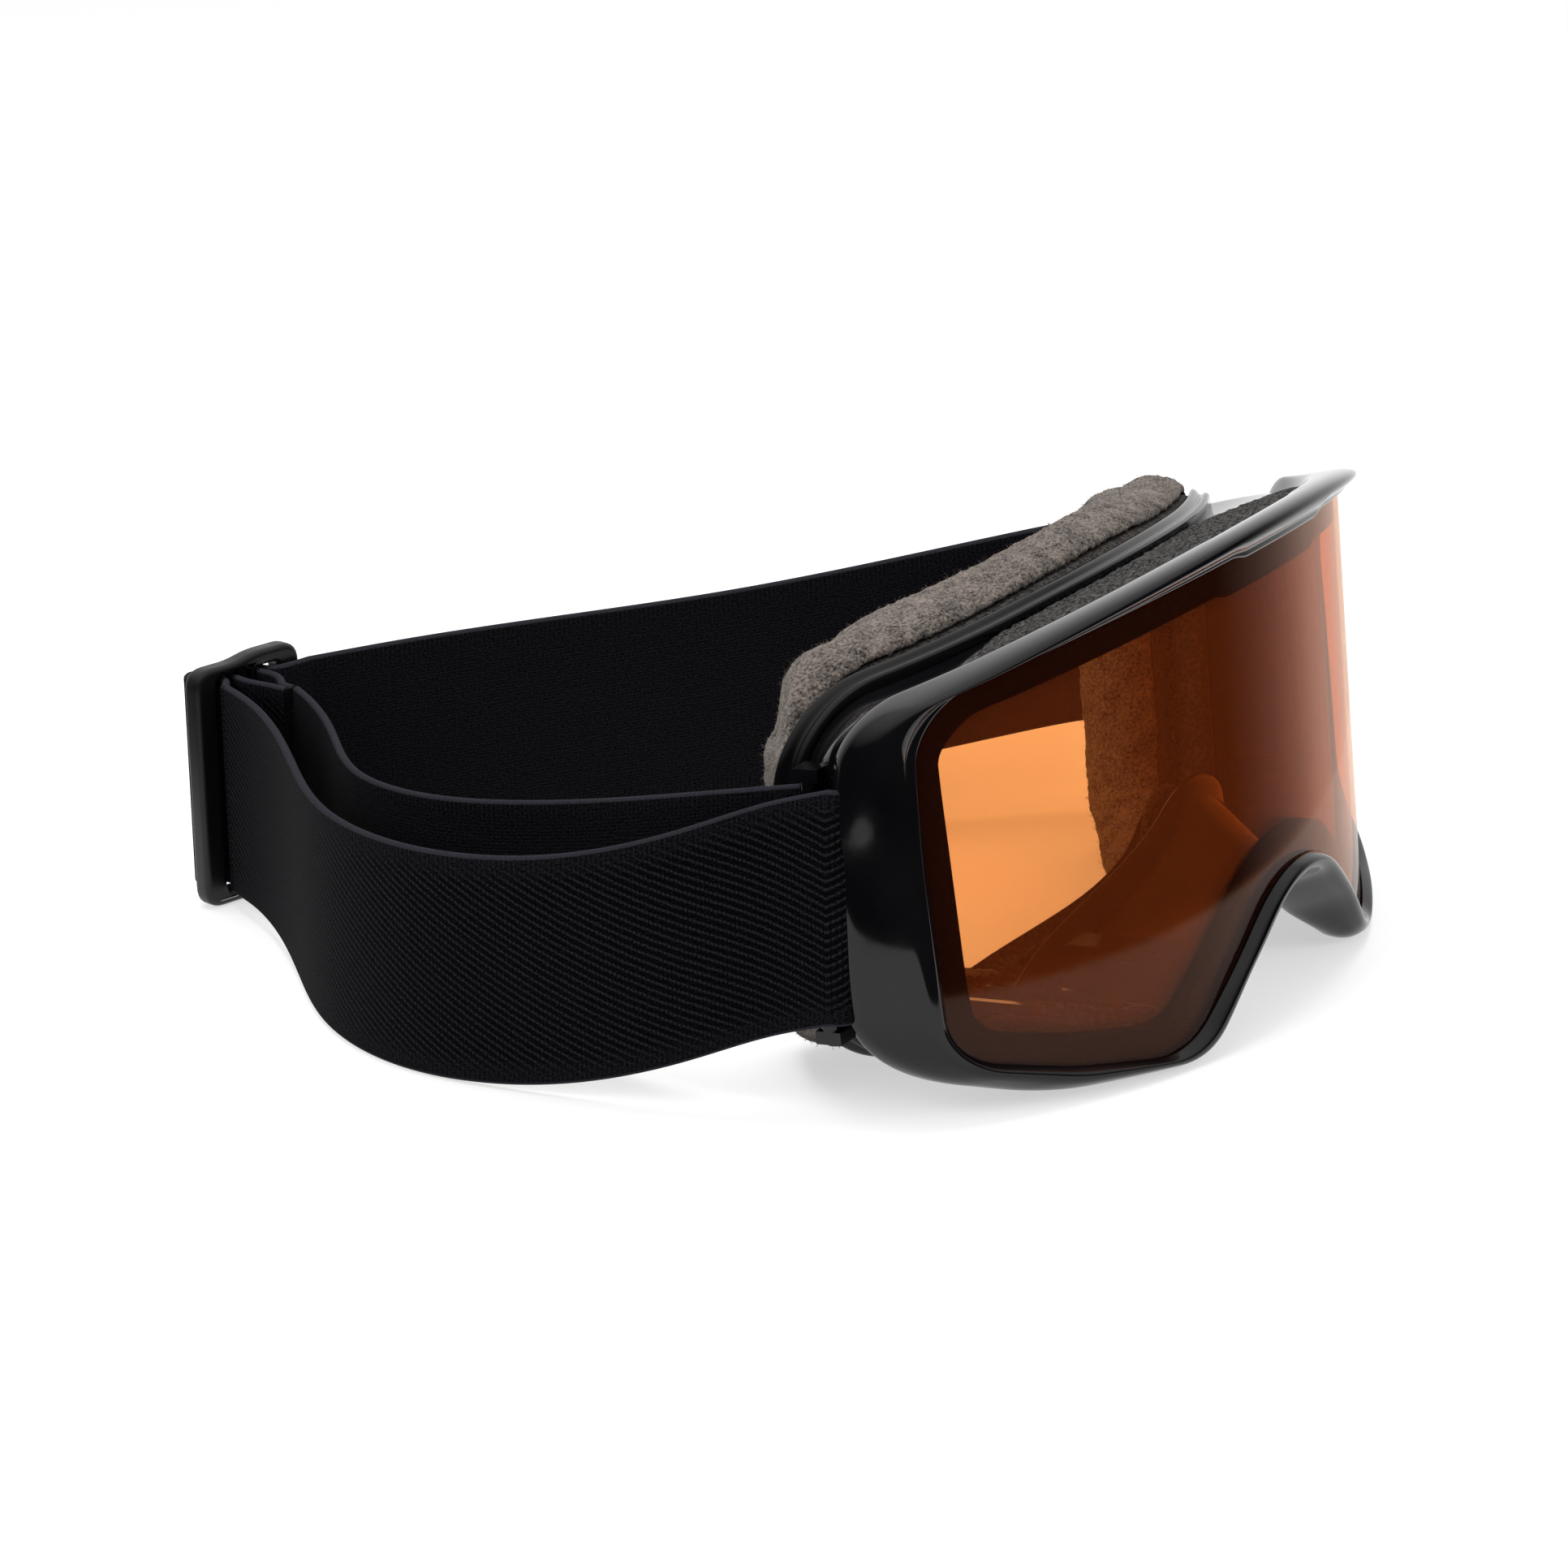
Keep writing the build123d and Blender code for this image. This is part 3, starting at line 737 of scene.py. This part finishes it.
def make_padding():
    base = [
        (0, 1.0, -3.5, 32.4, 166), (0, 1.0, -2.4, 33.9, 166), (0, 1.0, -2.2, 36.5, 166),
        (0, 0.99, -2.6, 38.4, 166), (0, 0.98, -4.5, 39.4, 166), (1, 1.0, 1.0, 39.4, 166),
        (1, 1.0, 0.0, 38.0, 166), (1, 1.0, 0.4, 34.5, 166), (1, 1.0, 2.0, 32.4, 166),
    ]
    soft = [
        (0, 0.98, -4.5, 39.9, 160), (0, 0.975, -3.4, 41.0, 150), (0, 0.965, -3.2, 42.5, 128),
        (0, 0.93, -3.8, 44.5, 110), (0, 0.88, -5.0, 45.8, 96), (0, 0.83, -6.6, 46.2, 92),
        (1, 0.82, 1.8, 45.6, 92), (1, 0.83, 0.6, 43.0, 104), (1, 0.92, 0.8, 40.4, 145),
    ]
    skin = [
        (0, 1.0, -1.6, 34.6, 166), (0, 1.0, -0.1, 35.6, 164), (0, 0.995, 0.9, 38.0, 158),
        (0, 0.985, 1.5, 41.0, 146), (0, 0.965, 1.4, 43.6, 124), (0, 0.93, 0.6, 45.8, 106),
        (0, 0.88, -1.0, 47.3, 95), (0, 0.83, -3.6, 48.4, 89), (0.5, 0.81, -1.5, 48.7, 88),
        (1, 0.8, 2.0, 47.6, 90), (1, 0.8, -0.4, 45.2, 98), (1, 0.86, -0.8, 42.0, 122),
        (1, 0.92, -0.2, 40.4, 144), (1, 0.87, 0.5, 42.2, 122), (1, 0.81, 0.9, 44.8, 99),
        (1, 0.81, 2.2, 46.6, 92), (0.5, 0.82, -2.0, 47.5, 90), (0, 0.84, -4.8, 47.2, 91),
        (0, 0.885, -2.2, 46.2, 97), (0, 0.935, -0.6, 44.7, 108), (0, 0.968, 0.2, 42.8, 126),
        (0, 0.985, 0.3, 40.6, 146), (0, 0.995, -0.3, 38.0, 158), (0, 1.0, -1.2, 36.2, 164),
        (0, 1.0, -2.1, 35.4, 166),
    ]
    body = smooth(ring_of_rows("face_foam_base_ring", padding_rows(base)), 1)
    finish_piece(body, PADDING, "goggle", "face_foam", "face_foam_base")
    middle = smooth(ring_of_rows("face_foam_soft_ring", padding_rows(soft)), 1)
    finish_piece(middle, PADDING, "goggle", "face_foam", "face_foam_soft")
    nap = smooth(ring_of_rows("fleece_liner_skin", padding_rows(skin)), 2)
    apply_modifiers(nap)
    roughen(nap, 0.0003, 150)
    roughen(nap, 0.00035, 900)
    add_fibres(nap, FIBRES, FIBRE_LENGTH)
    finish_piece(nap, FLEECE, "goggle", "fleece", "fleece_liner")


# ---- strap --------------------------------------------------------------------------------
def spline(points, count, start=0.0, end=1.0):
    """A natural cubic spline through points, sampled evenly between two shares of its length,
    with the length at each sample."""
    p = np.array(points, float)
    steps = np.linalg.norm(np.diff(p, axis=0), axis=1)
    s = np.concatenate([[0], np.cumsum(steps)])
    n = len(p)
    system = np.eye(n)
    right = np.zeros((n, p.shape[1]))
    for i in range(1, n - 1):
        h0, h1 = steps[i - 1], steps[i]
        system[i, i - 1 : i + 2] = h0, 2 * (h0 + h1), h1
        right[i] = 6 * ((p[i + 1] - p[i]) / h1 - (p[i] - p[i - 1]) / h0)
    second = np.linalg.solve(system, right)
    t = s[0] + (s[-1] - s[0]) * np.linspace(start, end, count)
    k = np.clip(np.searchsorted(s, t, side="right") - 1, 0, n - 2)
    h = steps[k][:, None]
    a = ((s[k + 1] - t)[:, None]) / h
    b = 1 - a
    curve = a * p[k] + b * p[k + 1]
    return curve + ((a**3 - a) * second[k] + (b**3 - b) * second[k + 1]) * h * h / 6, t


def strap_section(width, thickness, faces=18, ends=6):
    """Closed section points: outwards and up."""
    half = thickness / 2
    points = []
    for k in range(faces + 1):
        points.append((half, half + (width - thickness) * k / faces))
    for k in range(1, ends):
        angle = math.pi * k / ends
        points.append((half * math.cos(angle), width - half + half * math.sin(angle)))
    for k in range(faces + 1):
        points.append((-half, width - half - (width - thickness) * k / faces))
    for k in range(1, ends):
        angle = math.pi + math.pi * k / ends
        points.append((half * math.cos(angle), half + half * math.sin(angle)))
    return np.array(points)


def ribbon(name, path, lengths, outwards, width=STRAP_WIDTH, thickness=STRAP_THICKNESS):
    """A strap length along lower-edge points, its outer face to the left or right of the path."""
    path = np.array(path)
    ways = np.gradient(path, axis=0)
    ways[:, 2] = 0
    ways /= np.linalg.norm(ways, axis=1)[:, None]
    out = np.stack([ways[:, 1], -ways[:, 0], np.zeros(len(path))], axis=1) * outwards
    section = strap_section(width, thickness)
    rows = []
    place = []
    side = []
    for at, way, length in zip(path, out, lengths):
        for reach, up in section:
            rows.append(at + way * reach + np.array([0, 0, up]))
            place.append((length, up))
            near_edge = smoothstep(3.6, 2.4, min(up, width - up))
            side.append((float(reach > 0), float(near_edge)))
    count, length = len(path), len(section)
    faces = []
    for j in range(count - 1):
        for i in range(length):
            n = (i + 1) % length
            faces.append((j * length + i, j * length + n, (j + 1) * length + n, (j + 1) * length + i))
    faces.append(tuple(range(length)))
    faces.append(tuple((count - 1) * length + i for i in reversed(range(length))))
    piece = add_mesh(name, on_floor(rows), faces, {"strap": place, "side": side})
    piece.data.set_sharp_from_angle(angle=math.radians(75))
    return piece


def run_pieces(label, points, outwards):
    """The three lengths of one run; only the middle one is attached to a body, the strap's rear."""
    shares = (("front", 0, STRETCH_ENDS), ("middle", STRETCH_ENDS, SLIDER_STARTS), ("rear", SLIDER_STARTS, 1))
    for part, start, end in shares:
        path, lengths = spline(points, 60 if part == "front" else 34, start, end)
        name = f"strap_{label}_{part}"
        piece = ribbon(name + "_elastic", path, lengths, outwards)
        first, last = on_floor(path[0]), on_floor(path[-1])
        if part == "middle":
            finish_piece(piece, WEBBING, "strap_rear", "webbing", name)
            continue
        finish_piece(piece, WEBBING, None, "webbing", name)
        if part == "front":
            first = on_floor([0, STRETCH_STARTS, 0])
            last = np.array([first[0], last[1], first[2]])
        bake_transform(piece)


def bar_loop(name, side):
    """The strap's turn round a strap bar."""
    path = []
    for angle in np.linspace(0, -math.pi, 24):
        x = side * BAR_X + side * BAR_LOOP_RADIUS * math.cos(angle)
        path.append((x, BAR_Y + BAR_LOOP_RADIUS * math.sin(angle), BAR_LOOP_FOOT))
    steps = np.linalg.norm(np.diff(np.array(path), axis=0), axis=1)
    lengths = np.concatenate([[0], np.cumsum(steps)])
    piece = ribbon(name + "_elastic", path, lengths, -side)
    finish_piece(piece, WEBBING, "goggle", "webbing", name)


def in_slider(points):
    """Points drawn across and out of the slider, set where the slider stands."""
    p = np.asarray(points, float)
    across = np.array(SLIDER_ACROSS)
    out = np.array([-SLIDER_ACROSS[1], SLIDER_ACROSS[0]])
    flat = np.array(SLIDER_AT) + p[:, :1] * across + p[:, 1:2] * out
    return np.concatenate([flat, p[:, 2:]], axis=1)


def make_slider_strap():
    """The sewn end round the slider's middle bar, and the strap's turn over its outer bars."""
    loop_path = [
        (-1.9, -14.5), (-1.95, -12.0), (-2.6, -8.0), (-3.0, -4.0), (-2.7, -1.0), (-2.5, 1.2),
        (-1.6, 2.35), (0, 2.55), (1.6, 2.35), (2.5, 1.2), (2.7, -1.0), (3.0, -4.0), (2.2, -8.0),
        (-0.1, -12.0), (-0.15, -14.5),
    ]
    wrap_path = [
        (-8.4, -5.0), (-6.2, -2.9), (-4.9, -0.4), (-5.3, 2.0), (-7.0, 3.3), (-8.8, 4.4), (-8.0, 5.7),
        (-5.0, 5.9), (0, 5.0), (3.3, 4.2), (4.45, 2.2),
        (4.6, -0.2), (5.6, -2.2), (8.5, -2.9), (13.9, -2.75),
    ]
    for name, drawn in (("strap_sewn_loop", loop_path), ("strap_slider_wrap", wrap_path)):
        path, lengths = spline([(x, y, SLIDER_STRAP_FOOT) for x, y in drawn], 90)
        piece = ribbon(name + "_elastic", in_slider(path), lengths, -1)
        finish_piece(piece, WEBBING, "slider", "webbing", name)


SLIDER_THICK = 4.0
SLIDER_EDGE = 1.1
SLIDER_OUTLINE = [(-12.3, 0, 4), (12.3, 0, 4), (12.3, 46.3, 4),
                  (2.0, 46.3, 2), (-3.0, 45.3, 2), (-12.3, 45.3, 4)]
SLIDER_SLOTS = [[(-7.3, 2.7, 1), (-1.7, 2.7, 1), (-1.7, 43.3, 1), (-7.3, 43.3, 1)],
                [(1.7, 2.7, 1), (7.3, 2.7, 1), (7.3, 43.3, 1), (1.7, 43.3, 1)]]


def rounded(corners, grow, steps=8):
    """A closed outline with rounded corners, given counterclockwise, moved outwards by grow."""
    points = []
    for i, (x, z, radius) in enumerate(corners):
        here = np.array([x, z])
        back = np.array(corners[i - 1][:2]) - here
        ahead = np.array(corners[(i + 1) % len(corners)][:2]) - here
        back = back / np.linalg.norm(back)
        ahead = ahead / np.linalg.norm(ahead)
        for t in np.linspace(0, 1, steps):
            points.append(here + back * radius * (1 - t) ** 2 + ahead * radius * t**2)
    points = np.array(points)
    ways = np.roll(points, -1, axis=0) - np.roll(points, 1, axis=0)
    ways /= np.linalg.norm(ways, axis=1)[:, None]
    return points + np.stack([ways[:, 1], -ways[:, 0]], axis=1) * grow


def make_slider():
    """Three-bar slider: a rounded plate with two slots, its edges rolled over."""
    curve = bpy.data.curves.new("slider_outline", "CURVE")
    curve.dimensions = "2D"
    curve.fill_mode = "BOTH"
    curve.extrude = SLIDER_THICK / 2 - SLIDER_EDGE
    curve.bevel_depth = SLIDER_EDGE
    curve.bevel_resolution = 5
    outlines = [rounded(SLIDER_OUTLINE, -SLIDER_EDGE)]
    outlines += [rounded(slot, SLIDER_EDGE) for slot in SLIDER_SLOTS]
    for outline in outlines:
        line = curve.splines.new("POLY")
        line.points.add(len(outline) - 1)
        for point, (x, z) in zip(line.points, outline):
            point.co = (x, z, 0, 1)
        line.use_cyclic_u = True
    shape = bpy.data.objects.new("slider_shape", curve)
    bpy.context.scene.collection.objects.link(shape)
    flat = bpy.data.meshes.new_from_object(shape)
    bpy.data.objects.remove(shape)
    points = [(v.co.x, v.co.z, v.co.y) for v in flat.vertices]
    faces = [tuple(face.vertices) for face in flat.polygons]
    piece = add_mesh("slider_three_bar", on_floor(in_slider(points)), faces)
    weld = piece.modifiers.new("weld", "WELD")
    weld.merge_threshold = 0.00002
    apply_modifiers(piece)
    piece.data.set_sharp_from_angle(angle=math.radians(35))
    finish_piece(piece, SATIN, "slider", "satin_black", "slider_buckle")


def make_strap():
    run_pieces("near_outer", NEAR_OUTER, -1)
    run_pieces("near_inner", NEAR_INNER, 1)
    run_pieces("far", FAR_RUN, 1)
    bar_loop("strap_bar_loop_left", -1)
    bar_loop("strap_bar_loop_right", 1)
    make_slider_strap()
    make_slider()


# ---- stage --------------------------------------------------------------------------------
TABLE_RADIUS = 0.182       # metres: the pale top that shows in the gloss of the frame
FLOOR_RADIUS = 3.0         # metres
SIDES_ROUND = 96


def make_stage():
    """A pale floor. Only its middle shows in reflections."""
    material, _, shader = new_material("pale_floor")
    shader.inputs["Base Color"].default_value = (0.4, 0.4, 0.4, 1)
    shader.inputs["Roughness"].default_value = 0.9
    shader.inputs["Specular IOR Level"].default_value = 0.0
    shader.inputs["Emission Color"].default_value = (1, 1, 1, 1)
    shader.inputs["Emission Strength"].default_value = 0.55
    angles = np.linspace(0, 2 * math.pi, SIDES_ROUND + 1)[:-1]
    for name, radii in (("table", (0.0, TABLE_RADIUS)), ("floor", (TABLE_RADIUS, FLOOR_RADIUS))):
        points = [(r * math.cos(a), r * math.sin(a), 0) for r in radii for a in angles]
        faces = []
        for i in range(SIDES_ROUND):
            n = (i + 1) % SIDES_ROUND
            faces.append((i, n, SIDES_ROUND + n, SIDES_ROUND + i))
        part = add_mesh(name, points, faces)
        part.data.materials.append(material)
        part.visible_glossy = name == "table"


def make_world():
    """White behind everything. Reflections see a bright backdrop on one side and one overhead."""
    world = bpy.data.worlds.new("studio")
    bpy.context.scene.world = world
    world.use_nodes = True
    tree = world.node_tree
    light = tree.nodes["Background"]
    coords = tree.nodes.new("ShaderNodeTexCoord")
    split = tree.nodes.new("ShaderNodeSeparateXYZ")
    tree.links.new(coords.outputs["Generated"], split.inputs[0])
    sideways = maths(tree, "MULTIPLY", split.outputs["Y"], 0.49)
    beyond = maths(tree, "MULTIPLY_ADD", split.outputs["X"], 0.87, sideways)
    backdrop = ramp(tree, beyond, 0.25, 0.7, (0.01, 0.01, 0.01), (1.0, 1.0, 1.0))
    overhead = ramp(tree, split.outputs["Z"], 0.3, 0.85, (0.01, 0.01, 0.01), (1.0, 1.0, 1.0))
    tone = maths(tree, "MAXIMUM", backdrop.outputs["Color"], overhead.outputs["Color"])
    tree.links.new(tone, light.inputs["Color"])
    light.inputs["Strength"].default_value = 1.1
    white = tree.nodes.new("ShaderNodeBackground")
    white.inputs["Color"].default_value = (1, 1, 1, 1)
    white.inputs["Strength"].default_value = 1.05
    path = tree.nodes.new("ShaderNodeLightPath")
    mix = tree.nodes.new("ShaderNodeMixShader")
    tree.links.new(path.outputs["Is Camera Ray"], mix.inputs[0])
    tree.links.new(light.outputs[0], mix.inputs[1])
    tree.links.new(white.outputs[0], mix.inputs[2])
    tree.links.new(mix.outputs[0], tree.nodes["World Output"].inputs["Surface"])


def area_light(name, at, target, size, power):
    data = bpy.data.lights.new(name, "AREA")
    data.shape = "RECTANGLE"
    data.size, data.size_y = size
    data.energy = power
    lamp = bpy.data.objects.new(name, data)
    lamp.location = at
    lamp.rotation_euler = (Vector(target) - Vector(at)).to_track_quat("-Z", "Y").to_euler()
    lamp.visible_glossy = False
    bpy.context.scene.collection.objects.link(lamp)


def make_lights():
    middle = (0, -0.02, 0.04)
    area_light("top_softbox", (0.1, 0.1, 0.9), middle, (0.7, 0.5), 9)
    area_light("left_softbox", (-0.9, 0.25, 0.55), middle, (0.5, 0.7), 8)
    area_light("front_softbox", (0.1, -1.0, 0.5), middle, (0.6, 0.5), 5)


CAMERA_AT = (-725.54, -309.36, 297.80)
CAMERA_LENS = 111.70
CAMERA_ROLL = math.radians(-1.005)
CAMERA_BACK = (-0.82635, -0.46938, 0.31120)      # unit vectors before the roll
CAMERA_LEVEL = (0.49390, -0.86952, 0.0)
CAMERA_RISE = (0.27060, 0.15370, 0.95036)


def make_camera():
    """The reference view: from the front on the side of X < 0, a little above, with a long lens."""
    data = bpy.data.cameras.new("camera")
    data.sensor_width = 36.0
    data.lens = CAMERA_LENS
    data.clip_start = 0.05
    camera = bpy.data.objects.new("camera", data)
    level, rise = Vector(CAMERA_LEVEL), Vector(CAMERA_RISE)
    right = level * math.cos(CAMERA_ROLL) + rise * math.sin(CAMERA_ROLL)
    up = rise * math.cos(CAMERA_ROLL) - level * math.sin(CAMERA_ROLL)
    turned = Matrix((right, up, Vector(CAMERA_BACK))).transposed().to_4x4()
    turned.translation = ORIGIN + Vector(CAMERA_AT) * MM
    camera.matrix_world = turned
    bpy.context.scene.collection.objects.link(camera)
    bpy.context.scene.camera = camera


# ---- assembly -----------------------------------------------------------------------------
TRANSPARENT_BOUNCES = 32   # enough for a look through both lenses and the fibres

bpy.context.scene.view_settings.view_transform = "Standard"
bpy.context.scene.cycles.transparent_max_bounces = TRANSPARENT_BOUNCES
make_camera()
make_stage()
make_world()
make_lights()
make_rim()
make_lenses()
make_frame_skin()
make_flange()
make_padding()
make_strap()
for cad_name in ("vent_ribs_bottom", "strap_bar_left", "strap_bar_right"):
    cad_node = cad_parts[cad_name]
    cad_node.data.materials.clear()
    cad_node.data.materials.append(GLOSS)

bpy.context.view_layer.update()
